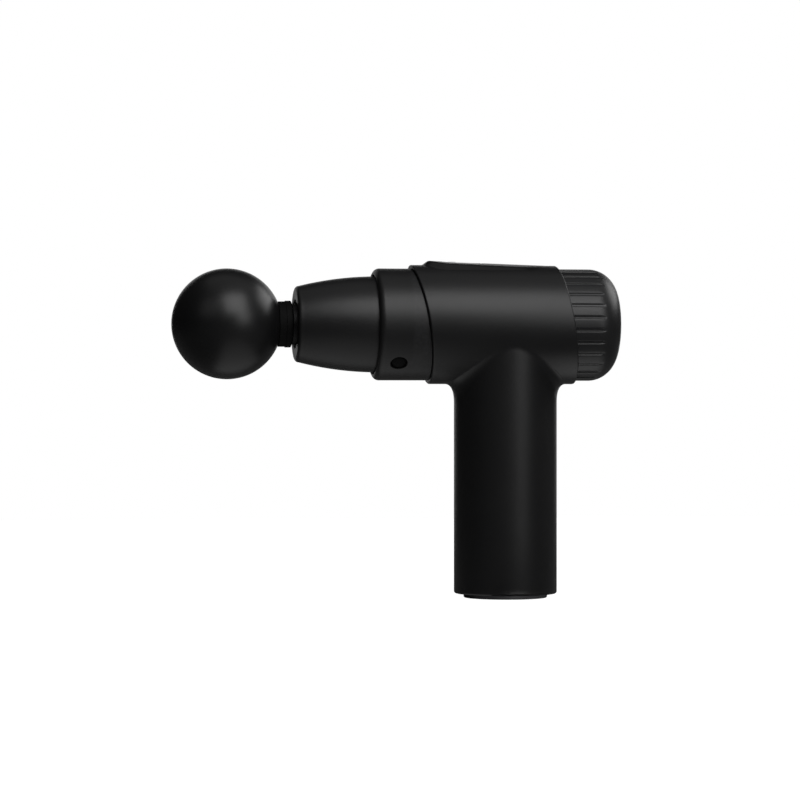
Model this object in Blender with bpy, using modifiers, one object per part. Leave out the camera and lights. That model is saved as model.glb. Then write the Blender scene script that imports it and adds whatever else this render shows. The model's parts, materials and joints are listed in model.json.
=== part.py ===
"""Massage gun: a T-shaped percussion massager, built as an assembly of separate pieces.

Frame: metres, +Z up the handle. The origin is the centre of the base cap's underside. The
barrel lies along X at the height AXIS_Z, and the massage head points to -X. The housing is
split at Y = 0 into a left half (-Y) and a right half (+Y).

Heights of pieces turned about the barrel's axis are world X values. The motor hangs upright
under the barrel's axis, and heights of pieces turned about its crank are depths below that axis.
"""
import math

import bmesh
import bpy
from mathutils import Matrix, Vector

MM = 0.001
GAP = 0.3 * MM                      # left between pieces that touch
FINE, MEDIUM, COARSE = 40, 28, 12   # facets round large, middling and small pieces

# Driving dimensions of the outside
AXIS_Z = 120.0 * MM                 # height of the barrel's axis above the base
BARREL_R = 26.1 * MM
BARREL_BORE = 23.9 * MM
SEAM_SLOPE = math.tan(math.radians(9.0))
FRONT_SEAM_X = -38.6 * MM           # where the slanted front seam crosses the axis
FRONT_SEAM_BOW = 1.2 * MM           # how far it swings back at the barrel's sides
REAR_SEAM_X = 26.25 * MM
HANDLE_R = 22.6 * MM
HANDLE_BULGE = 1.4 * MM             # the handle is this much thicker at its sides
HANDLE_BORE = 20.3 * MM
HANDLE_FOOT_Z = 1.85 * MM
BLEND_OUT_ENDS, BLEND_OUT_SIDES = 4.4 * MM, 0.3 * MM
BLEND_DOWN_ENDS, BLEND_DOWN_SIDES = 8.8 * MM, 1.5 * MM

COLLAR_R = 24.5 * MM
COLLAR_FRONT_X = -59.0 * MM
NOSE_R = 21.0 * MM
NOSE_FRONT_X = -93.3 * MM
NOSE_SLOPE, NOSE_BOW_R = 0.0132, 138.0 * MM
BALL_R = 24.1 * MM
BALL_X = -123.05 * MM
NECK_R, FLANGE_R = 9.9 * MM, 10.2 * MM
PISTON_R = 8.95 * MM
PISTON_FRONT_X = -94.9 * MM
PISTON_REAR_X = -27.0 * MM

DIAL_R = 24.6 * MM
DIAL_CORNER_R = 12.2 * MM
DIAL_END_X = 49.2 * MM
DIAL_FRONT_X = 21.3 * MM
GROOVES = 28
GROOVE_WIDTH, GROOVE_DEPTH = 1.3 * MM, 0.75 * MM

PANEL_FRONT_X, PANEL_REAR_X = -37.0 * MM, 18.0 * MM
PANEL_HALF_WIDTH = 11.0 * MM
PANEL_FRONT_R, PANEL_REAR_R = 28.0 * MM, 25.95 * MM
PANEL_FLOOR_R = 25.0 * MM
CORE_END = 70.0 * MM                # cores of seat cutters reach this far each way along X
LENS_FRONT_X, LENS_REAR_X = -31.0 * MM, -11.0 * MM
LENS_HALF_WIDTH = 6.5 * MM
BUTTON_X, BUTTON_R = -25.0 * MM, 3.6 * MM

PORT_X, PORT_R = -49.9 * MM, 3.6 * MM
PORT_TILT = math.radians(45.0)      # below the horizontal, on the left side

# Driving dimensions of the drive
CRANK_X = 0.0
CRANK_RADIUS = 5.0 * MM             # half the stroke
REST_BEHIND_CENTRE = 3.5 * MM       # the stored stroke position, measured along X
ROD_LENGTH = 36.0 * MM
PIN_RISE = math.sqrt(CRANK_RADIUS ** 2 - REST_BEHIND_CENTRE ** 2)
ROD_TILT = math.asin(PIN_RISE / ROD_LENGTH)
WRIST_X = CRANK_X + REST_BEHIND_CENTRE - ROD_LENGTH * math.cos(ROD_TILT)
PLATE_R = 18.2 * MM
PLATE_EAR_Y = 18.4 * MM             # where the two motor screws stand, left and right
GUIDE_HOLE_CIRCLE_R = 16.0 * MM

# Driving dimensions of the power pack
CELL_R, CELL_HEIGHT, CELL_FOOT_Z = 9.15 * MM, 65.0 * MM, 15.0 * MM
CELL_CIRCLE_R = 10.75 * MM
SCREW_R, SCREW_HEAD_R, SCREW_HOLE_R = 1.1 * MM, 2.2 * MM, 1.4 * MM
BASE_SCREW_R = 15.5 * MM
BOARD_TOP_Z, BOARD_THICKNESS = 87.6 * MM, 1.6 * MM

# Where local Z of a turned piece points
ON_BARREL = Matrix.Translation((0.0, 0.0, AXIS_Z)) @ Matrix.Rotation(math.pi / 2, 4, "Y")
DOWNWARD = Matrix.Rotation(math.pi, 4, "X")
ON_CRANK = Matrix.Translation((CRANK_X, 0.0, AXIS_Z)) @ DOWNWARD
ON_WRIST = (Matrix.Translation((WRIST_X, 0.0, AXIS_Z)) @ DOWNWARD
            @ Matrix.Rotation(-ROD_TILT, 4, "Z"))
ON_PORT = Matrix.Translation((PORT_X, 0.0, AXIS_Z)) @ Matrix.Rotation(
    math.pi / 2 + PORT_TILT, 4, "X")
UPRIGHT = Matrix.Identity(4)

# name: (colour, roughness, metallic)
LOOKS = {
    "soft_black_plastic": ((0.022, 0.022, 0.024), 0.48, 0.0),
    "satin_black_plastic": ((0.020, 0.020, 0.022), 0.38, 0.0),
    "gloss_black_plastic": ((0.008, 0.008, 0.010), 0.12, 0.0),
    "black_rubber": ((0.012, 0.012, 0.012), 0.70, 0.0),
    "foam_black": ((0.018, 0.018, 0.019), 0.50, 0.0),
    "nylon_grey": ((0.30, 0.31, 0.32), 0.55, 0.0),
    "acetal_white": ((0.75, 0.75, 0.73), 0.40, 0.0),
    "aluminium": ((0.68, 0.69, 0.71), 0.35, 0.9),
    "steel": ((0.50, 0.51, 0.53), 0.30, 1.0),
    "magnet": ((0.16, 0.16, 0.17), 0.45, 0.8),
    "winding": ((0.62, 0.28, 0.12), 0.40, 0.8),
    "board_green": ((0.03, 0.17, 0.08), 0.50, 0.0),
    "cell_wrap": ((0.05, 0.22, 0.45), 0.40, 0.0),
    "wire_red": ((0.50, 0.03, 0.03), 0.50, 0.0),
}


# ---------------------------------------------------------------- scene and object helpers

def empty_scene():
    """Remove every object, and make the collections for the parts and for the cutters."""
    for thing in list(bpy.data.objects):
        bpy.data.objects.remove(thing)
    for name in ("massage_gun", "cutters"):
        collection = bpy.data.collections.new(name)
        bpy.context.scene.collection.children.link(collection)


def look(name):
    """Principled material for one kind of surface, made once."""
    if name in bpy.data.materials:
        return bpy.data.materials[name]
    colour, roughness, metallic = LOOKS[name]
    material = bpy.data.materials.new(name)
    material.use_nodes = True
    shader = material.node_tree.nodes["Principled BSDF"]
    shader.inputs["Base Color"].default_value = (*colour, 1.0)
    shader.inputs["Roughness"].default_value = roughness
    shader.inputs["Metallic"].default_value = metallic
    return material


def add(name, mesh, surface, place=UPRIGHT):
    """Link a mesh as an object: a part with a surface name, or a cutter with None."""
    thing = bpy.data.objects.new(name, mesh)
    thing.matrix_world = place
    if surface is None:
        thing.hide_render = True
        thing.display_type = "WIRE"
        bpy.data.collections["cutters"].objects.link(thing)
    else:
        mesh.materials.append(look(surface))
        bpy.data.collections["massage_gun"].objects.link(thing)
    return thing


def evaluated_mesh(thing):
    """The object's mesh with its modifiers applied, as a new mesh."""
    bpy.context.view_layer.update()
    seen = thing.evaluated_get(bpy.context.evaluated_depsgraph_get())
    return bpy.data.meshes.new_from_object(seen)


def mirrored_pair(value):
    """The two signs of a value, the left one first."""
    return (-value, value)


def boolean(thing, cutter, operation="DIFFERENCE"):
    """Add one exact Boolean."""
    step = thing.modifiers.new(operation.title() + " " + cutter.name, "BOOLEAN")
    step.operation = operation
    step.object = cutter
    return thing


# ---------------------------------------------------------------- shape helpers

def turned(name, profile, surface, place=ON_BARREL, ring=False, steps=MEDIUM):
    """Solid of revolution about local Z.

    The profile is a list of (radius, height) down the outer side. A ring's profile closes on
    itself, and any other starts and ends on the axis.
    """
    last = len(profile) - 1
    edges = [(i, i + 1) for i in range(last)]
    if ring:
        edges.append((last, 0))
    mesh = bpy.data.meshes.new(name)
    mesh.from_pydata([(radius, 0.0, height) for radius, height in profile], edges, [])
    thing = add(name, mesh, surface, place)
    screw = thing.modifiers.new("Turn", "SCREW")
    screw.steps = steps
    screw.render_steps = steps
    screw.use_merge_vertices = True
    screw.merge_threshold = 0.01 * MM
    screw.use_smooth_shade = True
    return thing


def rod_profile(radius, high, low):
    """Profile of a plain solid cylinder."""
    return [(0.0, high), (radius, high), (radius, low), (0.0, low)]


def ring_profile(inner, outer, high, low):
    """Profile of a plain tube."""
    return [(inner, high), (outer, high), (outer, low), (inner, low)]


def screw_profile(shank_r, head_r, tip, under_head, top):
    """Profile of a screw with a flat cylindrical head."""
    return [(0.0, tip), (shank_r, tip), (shank_r, under_head), (head_r, under_head),
            (head_r, top), (0.0, top)]


def arc(centre, radius, start, end, pieces):
    """Points of an arc, both ends included; angles in degrees."""
    angles = [math.radians(start + (end - start) * i / pieces) for i in range(pieces + 1)]
    return [(centre[0] + radius * math.cos(a), centre[1] + radius * math.sin(a)) for a in angles]


def box(name, low, high, surface=None, turn=0.0, about=(0.0, 0.0, 0.0)):
    """Axis-aligned box between two corners, if wished turned about an X-parallel line."""
    shape = bmesh.new()
    bmesh.ops.create_cube(shape, size=1.0)
    size = Matrix.Diagonal([h - l for l, h in zip(low, high)]).to_4x4()
    middle = Vector([(h + l) / 2 for l, h in zip(low, high)])
    bmesh.ops.transform(shape, matrix=Matrix.Translation(middle) @ size, verts=shape.verts)
    mesh = bpy.data.meshes.new(name)
    shape.to_mesh(mesh)
    shape.free()
    place = Matrix.Translation(about) @ Matrix.Rotation(turn, 4, "X")
    return add(name, mesh, surface, place)


def flat_piece(name, loops, low, high, surface, place=UPRIGHT):
    """Plate from closed outlines in local XY, between two local heights; inner loops are holes."""
    outline = bpy.data.curves.new(name + "_outline", "CURVE")
    outline.dimensions = "2D"
    outline.fill_mode = "BOTH"
    outline.extrude = (high - low) / 2
    for loop in loops:
        spline = outline.splines.new("POLY")
        spline.points.add(len(loop) - 1)
        for point, (x, y) in zip(spline.points, loop):
            point.co = (x, y, 0.0, 1.0)
        spline.use_cyclic_u = True
    return from_curve(name, outline, surface, place @ Matrix.Translation((0, 0, (high + low) / 2)))


def wire(name, points, radius, surface):
    """Round lead along straight pieces between a few points."""
    route = bpy.data.curves.new(name + "_route", "CURVE")
    route.dimensions = "3D"
    route.bevel_depth = radius
    route.bevel_resolution = 1
    route.use_fill_caps = True
    spline = route.splines.new("POLY")
    spline.points.add(len(points) - 1)
    for point, place in zip(spline.points, points):
        point.co = (*place, 1.0)
    return from_curve(name, route, surface, UPRIGHT)


def from_curve(name, curve, surface, place):
    """Turn a filled curve into a welded mesh object."""
    guide = add(name + "_guide", curve, None, place)
    mesh = evaluated_mesh(guide)
    bpy.data.objects.remove(guide)
    shape = bmesh.new()
    shape.from_mesh(mesh)
    bmesh.ops.remove_doubles(shape, verts=shape.verts, dist=0.001 * MM)
    shape.to_mesh(mesh)
    shape.free()
    mesh.materials.clear()
    mesh.name = name
    return add(name, mesh, surface, place)


def lofted(name, rings, surface):
    """Closed solid through rings of points, the lowest ring first."""
    shape = bmesh.new()
    rows = [[shape.verts.new(point) for point in ring] for ring in rings]
    count = len(rows[0])
    for lower, upper in zip(rows, rows[1:]):
        for i in range(count):
            j = (i + 1) % count
            shape.faces.new((lower[i], lower[j], upper[j], upper[i]))
    shape.faces.new(list(reversed(rows[0])))
    shape.faces.new(rows[-1])
    mesh = bpy.data.meshes.new(name)
    shape.to_mesh(mesh)
    shape.free()
    return add(name, mesh, surface)


def slanted(name, profile, ring=False):
    """Turned cutter or core whose end planes lean like the housing's seams."""
    guide = turned(name + "_upright", profile, None, ring=ring, steps=FINE)
    mesh = evaluated_mesh(guide)
    bpy.data.objects.remove(guide)
    for vertex in mesh.vertices:    # local x is world -Z, and local z is world X
        bow = FRONT_SEAM_BOW * (vertex.co.y / BARREL_R) ** 2 if vertex.co.z < 0 else 0.0
        vertex.co.z += SEAM_SLOPE * vertex.co.x + bow
    return add(name, mesh, None, ON_BARREL)


def stadium(front, rear, half_width):
    """Outline with round ends along X."""
    return (arc((front + half_width, 0.0), half_width, 90.0, 270.0, 12)
            + arc((rear - half_width, 0.0), half_width, -90.0, 90.0, 12))


def on_circle(radius, angle):
    """Point on a circle in a plane."""
    return (radius * math.cos(angle), radius * math.sin(angle))


# ---------------------------------------------------------------- massage head

def make_head():
    """Ball head with its moulded stem and the two rings that grip the piston's bore."""
    socket_r, collar_r, collar_x = 9.0 * MM, 12.0 * MM, -111.0 * MM
    hollow_r = BALL_R - 2.6 * MM
    mouth = math.degrees(math.acos(socket_r / BALL_R))
    brim = math.degrees(math.acos(collar_r / hollow_r))
    ball = arc((0.0, BALL_X), hollow_r, -90.0, brim, 9)
    ball += [(collar_r, collar_x), (socket_r, collar_x)]
    ball += arc((0.0, BALL_X), BALL_R, mouth, -90.0, 14)
    ball[0] = (0.0, BALL_X - hollow_r)
    ball[-1] = (0.0, BALL_X - BALL_R)
    turned("head_ball", ball, "foam_black", steps=FINE)

    stem_r, groove_r, core_r = 5.0 * MM, 3.9 * MM, 5.4 * MM
    neck_front, neck_foot = -100.85 * MM, -100.3 * MM
    grooves = [(-80.0 * MM, -82.0 * MM), (-88.0 * MM, -90.0 * MM)]
    stem = [(0.0, -77.0 * MM), (4.4 * MM, -77.0 * MM), (stem_r, -77.8 * MM)]
    for high, low in grooves:
        stem += [(stem_r, high), (groove_r, high), (groove_r, low), (stem_r, low)]
    flange_rear = PISTON_FRONT_X - GAP
    flange_front = flange_rear - 2.5 * MM
    stem += [(stem_r, flange_rear), (FLANGE_R, flange_rear), (FLANGE_R, flange_front)]
    stem += [(NECK_R, flange_front), (NECK_R, neck_front), (socket_r - GAP, neck_foot)]
    stem += [(socket_r - GAP, collar_x), (core_r, collar_x), (core_r, flange_front)]
    blind_r, blind_front, blind_end = 2.8 * MM, -94.0 * MM, -82.5 * MM
    stem += [(blind_r, blind_front), (blind_r, blind_end), (0.0, blind_end)]
    turned("head_stem", stem, "black_rubber")

    for name, (high, low) in zip(("stem_ring_rear", "stem_ring_front"), grooves):
        middle = (high + low) / 2
        cord = arc((4.7 * MM, middle), 0.5 * MM, 90.0, -210.0, 5)
        turned(name, cord, "black_rubber", ring=True, steps=COARSE)


# ---------------------------------------------------------------- nose, collar and port

def nose_radius(x):
    """Outer radius of the nose cone: a long shallow bow that starts at the collar."""
    along = max(COLLAR_FRONT_X - x, 0.0)
    return NOSE_R - NOSE_SLOPE * along - along ** 2 / (2 * NOSE_BOW_R)


def make_nose():
    """Nose cone with a mouth for the wiper seal."""
    rear, wall, edge = -57.6 * MM, 2.0 * MM, 1.5 * MM
    length = COLLAR_FRONT_X - NOSE_FRONT_X
    stations = [COLLAR_FRONT_X - length * i / 5 for i in range(5)] + [NOSE_FRONT_X + edge]
    outer = [(NOSE_R, rear)] + [(nose_radius(x), x) for x in stations]
    tip = nose_radius(NOSE_FRONT_X + edge)
    outer += arc((tip - edge, NOSE_FRONT_X + edge), edge, 0.0, -90.0, 3)[1:]
    mouth = 10.7 * MM
    inner = [(mouth, NOSE_FRONT_X), (mouth, NOSE_FRONT_X + wall)]
    inner += [(nose_radius(x) - wall, x) for x in (NOSE_FRONT_X + wall, *stations[4:0:-2])]
    inner += [(NOSE_R - wall, rear)]
    turned("nose_cone", outer + inner, "soft_black_plastic", ring=True, steps=FINE)
    seal = ring_profile(9.15 * MM, mouth - GAP, NOSE_FRONT_X + wall - GAP, NOSE_FRONT_X + GAP)
    turned("wiper_seal", seal, "black_rubber", ring=True)


def make_collar():
    """Collar that joins the nose to the housing, with a flange inside and a spigot behind."""
    bore, corner, spigot_rear = 21.3 * MM, 2.6 * MM, -32.0 * MM
    flange_bore = 13.1 * MM
    flange = (-54.8 * MM, -57.2 * MM)
    profile = [(bore, spigot_rear), (COLLAR_R, spigot_rear)]
    profile += arc((COLLAR_R - corner, COLLAR_FRONT_X + corner), corner, 0.0, -90.0, 3)
    profile += [(bore, flange[1]), (flange_bore, flange[1]), (flange_bore, flange[0])]
    profile += [(bore, flange[0])]
    collar = turned("nose_collar", profile, "soft_black_plastic", ring=True, steps=42)
    behind = ring_profile(BARREL_BORE - GAP, 2 * COLLAR_R, 40.0 * MM, FRONT_SEAM_X - GAP)
    boolean(collar, slanted("collar_step_cutter", behind, ring=True))
    hole = turned("port_cutter", rod_profile(PORT_R, 27.0 * MM, 20.0 * MM), None, ON_PORT)
    boolean(collar, hole)
    for cutter in guide_screw_cutters():
        boolean(collar, cutter)


def make_port():
    """Rubber plug in the collar, and the charging jack that it covers."""
    cap_r, cap_top, edge = PORT_R - GAP, 24.35 * MM, 0.4 * MM
    skirt_r, skirt_bore, foot = 2.2 * MM, 1.1 * MM, 15.6 * MM
    plug = [(0.0, cap_top), (cap_r - edge, cap_top), (cap_r, cap_top - edge)]
    plug += [(cap_r, 21.4 * MM), (skirt_r, 21.4 * MM), (skirt_r, foot)]
    plug += [(skirt_bore, foot), (skirt_bore, 20.4 * MM), (0.0, 20.4 * MM)]
    turned("port_plug", plug, "black_rubber", ON_PORT, steps=COARSE)
    pin_r, bore_r, jack_r = 0.7 * MM, 2.6 * MM, 4.2 * MM
    floor, rear = 15.2 * MM, 13.7 * MM
    jack = [(0.0, 19.8 * MM), (pin_r, 19.8 * MM), (pin_r, floor), (bore_r, floor)]
    jack += [(bore_r, 20.4 * MM), (jack_r, 20.4 * MM), (jack_r, rear), (0.0, rear)]
    turned("charging_jack", jack, "nylon_grey", ON_PORT, steps=COARSE)


def guide_screw_places():
    """Placements of the guide screws, each along the barrel with its head to the front."""
    angles = [math.radians(a) for a in (90.0, 210.0, 330.0)]
    spots = [on_circle(GUIDE_HOLE_CIRCLE_R, a) for a in angles]
    return [Matrix.Translation((0.0, y, z)) @ ON_BARREL for y, z in spots]


def guide_screw_cutters():
    """Clearance holes for the guide screws, made once and shared."""
    made = [thing for thing in bpy.data.objects if thing.name.startswith("guide_hole")]
    if made:
        return made
    hole = rod_profile(SCREW_HOLE_R, -50.0 * MM, -62.0 * MM)
    places = guide_screw_places()
    return [turned("guide_hole_%d" % i, hole, None, p, steps=COARSE) for i, p in enumerate(places)]


def make_guide():
    """Guide sleeve with its two bushes and the screws that hold it to the collar."""
    bore, tube, flange = 11.2 * MM, 12.8 * MM, 18.3 * MM
    front, rear = -89.9 * MM, -50.0 * MM
    face = (-57.5 * MM, -60.0 * MM)
    profile = [(bore, rear), (tube, rear), (tube, face[0]), (flange, face[0])]
    profile += [(flange, face[1]), (tube, face[1]), (tube, front), (bore, front)]
    sleeve = turned("guide_sleeve", profile, "nylon_grey", ring=True)
    for cutter in guide_screw_cutters():
        boolean(sleeve, cutter)
    for name, high in (("guide_bush_front", -80.0 * MM), ("guide_bush_rear", -51.0 * MM)):
        bush = ring_profile(PISTON_R + 0.2 * MM, bore - GAP, high, high - 9.0 * MM)
        turned(name, bush, "acetal_white", ring=True)
    screw = screw_profile(SCREW_R, SCREW_HEAD_R, -54.9 * MM, -60.3 * MM, -62.0 * MM)
    for i, place in enumerate(guide_screw_places()):
        turned("guide_screw_%d" % (i + 1), screw, "steel", place, steps=COARSE)


# ---------------------------------------------------------------- housing

def handle_blend(angle):
    """Handle, corner and barrel points of the blend at one angle round the handle.

    Each is (distance from the handle's axis, world z). The blend leaves the handle upright
    and meets the barrel along the barrel's own slope.
    """
    side = math.sin(angle) ** 2
    radius = HANDLE_R + HANDLE_BULGE * side
    out = BLEND_OUT_ENDS + (BLEND_OUT_SIDES - BLEND_OUT_ENDS) * side
    down = BLEND_DOWN_ENDS + (BLEND_DOWN_SIDES - BLEND_DOWN_ENDS) * side
    reach = radius + out
    drop = math.sqrt(BARREL_R ** 2 - reach ** 2 * side)
    slope = reach * side / drop
    barrel = (reach, AXIS_Z - drop)
    corner = (radius, barrel[1] - slope * out)
    handle = (radius, corner[1] - down)
    return handle, corner, barrel


def handle_rings():
    """Rings of the handle's outer skin, from its foot to well inside the barrel.

    Each level stands in from the skin by its inset.
    """
    angles = [2 * math.pi * (i + 0.5) / FINE for i in range(FINE)]
    edge = 1.0 * MM

    def level(inset, z):
        reaches = [HANDLE_R + HANDLE_BULGE * math.sin(a) ** 2 - inset for a in angles]
        return [(r * math.cos(a), r * math.sin(a), z) for r, a in zip(reaches, angles)]

    rings = [level(edge, HANDLE_FOOT_Z)]
    rings.append(level(0.3 * edge, HANDLE_FOOT_Z + 0.3 * edge))
    rings.append(level(0.0, HANDLE_FOOT_Z + edge))
    pieces = 6
    for step in range(pieces + 1):
        t = step / pieces
        ring = []
        for angle in angles:
            handle, corner, barrel = handle_blend(angle)
            reach, z = [(1 - t) ** 2 * h + 2 * t * (1 - t) * c + t * t * b
                        for h, c, b in zip(handle, corner, barrel)]
            ring.append(Vector((reach * math.cos(angle), reach * math.sin(angle), z)))
        rings.append(ring)
    sunk = 1 - 0.3 * MM / BARREL_R
    rings[-1] = [(p.x, p.y * sunk, AXIS_Z + (p.z - AXIS_Z) * sunk) for p in rings[-1]]
    rings.append(level(7.3 * MM, AXIS_Z - 10.0 * MM))
    return rings


def housing_cutters():
    """Everything that is cut out of both housing halves."""
    rear_r, rear_step = DIAL_R + GAP, DIAL_FRONT_X - GAP
    bore = [(0.0, 60.0 * MM), (rear_r, 60.0 * MM), (rear_r, rear_step)]
    bore += [(BARREL_BORE, rear_step), (BARREL_BORE, -60.0 * MM), (0.0, -60.0 * MM)]
    foot_r, floor, high = 18.7 * MM, 4.0 * MM, AXIS_Z - 5.0 * MM
    shaft = [(0.0, high), (HANDLE_BORE, high), (HANDLE_BORE, floor)]
    shaft += [(foot_r, floor), (foot_r, -6.0 * MM), (0.0, -6.0 * MM)]
    window_low = (-30.0 * MM, -6.5 * MM, AXIS_Z + 18.0 * MM)
    window_high = (-9.0 * MM, 6.5 * MM, AXIS_Z + 30.0 * MM)
    pocket_outline = stadium(PANEL_FRONT_X - GAP, PANEL_REAR_X + GAP, PANEL_HALF_WIDTH + GAP)
    pocket = flat_piece("panel_pocket_cutter", [pocket_outline], AXIS_Z + 10.0 * MM,
                        AXIS_Z + 40.0 * MM, None)
    core = rod_profile(PANEL_FLOOR_R - GAP, CORE_END, -CORE_END)
    boolean(pocket, turned("pocket_core", core, None, steps=FINE))
    return [
        turned("barrel_bore_cutter", bore, None, steps=FINE),
        turned("handle_bore_cutter", shaft, None, UPRIGHT, steps=FINE),
        box("window_cutter", window_low, window_high),
        pocket,
    ]


def hanging(x, y):
    """Placement of a piece turned about an upright line, heights counted down from the axis."""
    return Matrix.Translation((x, y, AXIS_Z)) @ DOWNWARD


def make_housing():
    """Left and right halves: barrel and handle in one skin, blended where they meet."""
    edge, rear_edge = 0.6 * MM, 1.0 * MM
    rear, front = REAR_SEAM_X, FRONT_SEAM_X
    barrel = [(0.0, rear), (BARREL_R - rear_edge, rear), (BARREL_R, rear - rear_edge)]
    barrel += [(BARREL_R, front + edge), (BARREL_R - edge, front), (0.0, front)]
    core = slanted("barrel_core", barrel)
    boolean(core, lofted("handle_core", handle_rings(), None), "UNION")
    for cutter in housing_cutters():
        boolean(core, cutter)
    far = 200.0 * MM
    for name, side in (("housing_left", -1.0), ("housing_right", 1.0)):
        ends = sorted((side * GAP / 2, -side * far))
        other = box(name + "_cutter", (-far, ends[0], -far), (far, ends[1], 2 * far))
        half = add(name, evaluated_mesh(core), "soft_black_plastic", ON_BARREL)
        boolean(half, other)
        boss_r, bore_r, face, floor = 2.4 * MM, 1.3 * MM, 10.5 * MM, 16.0 * MM
        boss = [(0.0, 20.0 * MM), (boss_r, 20.0 * MM), (boss_r, face)]
        boss += [(bore_r, face), (bore_r, floor), (0.0, floor)]
        at_ear = hanging(CRANK_X, side * PLATE_EAR_Y)
        boolean(half, turned(name + "_boss", boss, None, at_ear, steps=COARSE), "UNION")


def make_base_cap():
    """Cap that closes the handle and carries the gun when it stands, with its two screws."""
    foot_r, flange_r, edge = 18.4 * MM, HANDLE_BORE - GAP, 0.6 * MM
    cap = [(0.0, 6.3 * MM), (flange_r, 6.3 * MM), (flange_r, 4.3 * MM), (foot_r, 4.3 * MM)]
    cap += [(foot_r, edge), (foot_r - edge, 0.0), (0.0, 0.0)]
    base = turned("base_cap", cap, "satin_black_plastic", UPRIGHT)
    hole = screw_profile(SCREW_HOLE_R, SCREW_HEAD_R + GAP, 9.0 * MM, 3.5 * MM, -1.0 * MM)
    screw = screw_profile(SCREW_R, SCREW_HEAD_R, 13.6 * MM, 3.2 * MM, 1.4 * MM)
    for i, y in enumerate(mirrored_pair(BASE_SCREW_R)):
        place = Matrix.Translation((0.0, y, 0.0))
        boolean(base, turned("base_hole_%d" % i, hole, None, place, steps=COARSE))
        turned("base_screw_%d" % (i + 1), screw, "steel", place, steps=COARSE)


# ---------------------------------------------------------------- control panel

def panel_crown(name, floor_r):
    """Solid between the panel's sloping top surface and a floor radius, all round the barrel."""
    front_r = BARREL_R - 0.4 * MM
    rise = 2.6 * MM
    bow = [(PANEL_FRONT_R - (PANEL_FRONT_R - front_r) * (1 - t) ** 2, PANEL_FRONT_X + rise * t)
           for t in (1.0, 0.75, 0.5, 0.25, 0.0)]
    profile = [(floor_r, PANEL_REAR_X), (PANEL_REAR_R, PANEL_REAR_X)] + bow
    profile += [(floor_r, PANEL_FRONT_X)]
    return turned(name, profile, None, ring=True, steps=72)


def make_panel():
    """Raised control panel with its lens, button, switch and board."""
    top = AXIS_Z + 35.0 * MM
    foot = AXIS_Z + 10.0 * MM
    outline = stadium(PANEL_FRONT_X + 0.02 * MM, PANEL_REAR_X - 0.02 * MM, PANEL_HALF_WIDTH)
    panel = flat_piece("control_panel", [outline], foot, top, "satin_black_plastic")
    boolean(panel, panel_crown("panel_crown", PANEL_FLOOR_R), "INTERSECT")
    seat = stadium(LENS_FRONT_X - GAP, LENS_REAR_X + GAP, LENS_HALF_WIDTH + GAP)
    seat = flat_piece("lens_seat_cutter", [seat], foot, top, None)
    lens_floor = 25.8 * MM
    core = rod_profile(lens_floor - GAP, CORE_END, -CORE_END)
    boolean(seat, turned("lens_seat_core", core, None, steps=72))
    boolean(panel, seat)
    at_button = Matrix.Translation((BUTTON_X, 0.0, AXIS_Z))
    hole = rod_profile(BUTTON_R + GAP, 35.0 * MM, 15.0 * MM)
    hole = turned("button_hole_cutter", hole, None, at_button)
    boolean(panel, hole)

    outline = stadium(LENS_FRONT_X, LENS_REAR_X, LENS_HALF_WIDTH)
    lens = flat_piece("panel_lens", [outline], foot, top, "gloss_black_plastic")
    boolean(lens, panel_crown("lens_crown", lens_floor), "INTERSECT")
    boolean(lens, hole)

    plunger_r, foot, under = 1.6 * MM, 23.7 * MM, 25.1 * MM
    button = [(0.0, 27.55 * MM), (3.2 * MM, 27.45 * MM), (BUTTON_R, 27.05 * MM)]
    button += [(BUTTON_R, under), (plunger_r, under), (plunger_r, foot), (0.0, foot)]
    turned("power_button", button, "satin_black_plastic", at_button)

    board = AXIS_Z + 19.5 * MM
    box("panel_board", (-31.5 * MM, -6.0 * MM, board), (-5.0 * MM, 6.0 * MM, board + 1.2 * MM),
        "board_green")
    switch = [BUTTON_X - 3.0 * MM, BUTTON_X + 3.0 * MM]
    box("button_switch", (switch[0], -3.0 * MM, board + 1.5 * MM),
        (switch[1], 3.0 * MM, board + 3.1 * MM), "nylon_grey")


# ---------------------------------------------------------------- speed dial

def make_dial():
    """Grooved rear dial, its spindle and encoder, and the bulkhead that carries them."""
    flat_r = DIAL_R - DIAL_CORNER_R
    corner_x = DIAL_END_X - DIAL_CORNER_R
    profile = [(0.0, DIAL_END_X)]
    profile += arc((flat_r, corner_x), DIAL_CORNER_R, 90.0, 0.0, 6)
    wall = 2.8 * MM
    profile += [(DIAL_R, DIAL_FRONT_X), (DIAL_R - wall, DIAL_FRONT_X)]
    profile += arc((flat_r, corner_x), DIAL_CORNER_R - wall, 0.0, 90.0, 3)
    inside_x = DIAL_END_X - wall
    hub_r, hub_x, hub_bore, hub_end = 5.6 * MM, 33.0 * MM, 3.3 * MM, 45.7 * MM
    profile += [(hub_r, inside_x), (hub_r, hub_x), (hub_bore, hub_x)]
    profile += [(hub_bore, hub_end), (0.0, hub_end)]
    dial = turned("speed_dial", profile, "soft_black_plastic", steps=GROOVES)
    boolean(dial, groove_cutter())

    bulkhead = rod_profile(BARREL_BORE - GAP, 20.4 * MM, 18.6 * MM)
    turned("rear_bulkhead", bulkhead, "aluminium")
    half = 6.0 * MM
    box("dial_encoder", (20.7 * MM, -half, AXIS_Z - half), (27.0 * MM, half, AXIS_Z + half),
        "nylon_grey")
    spindle = rod_profile(hub_bore - GAP, hub_end - GAP, 27.0 * MM + GAP)
    turned("dial_spindle", spindle, "steel", steps=COARSE)


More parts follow.
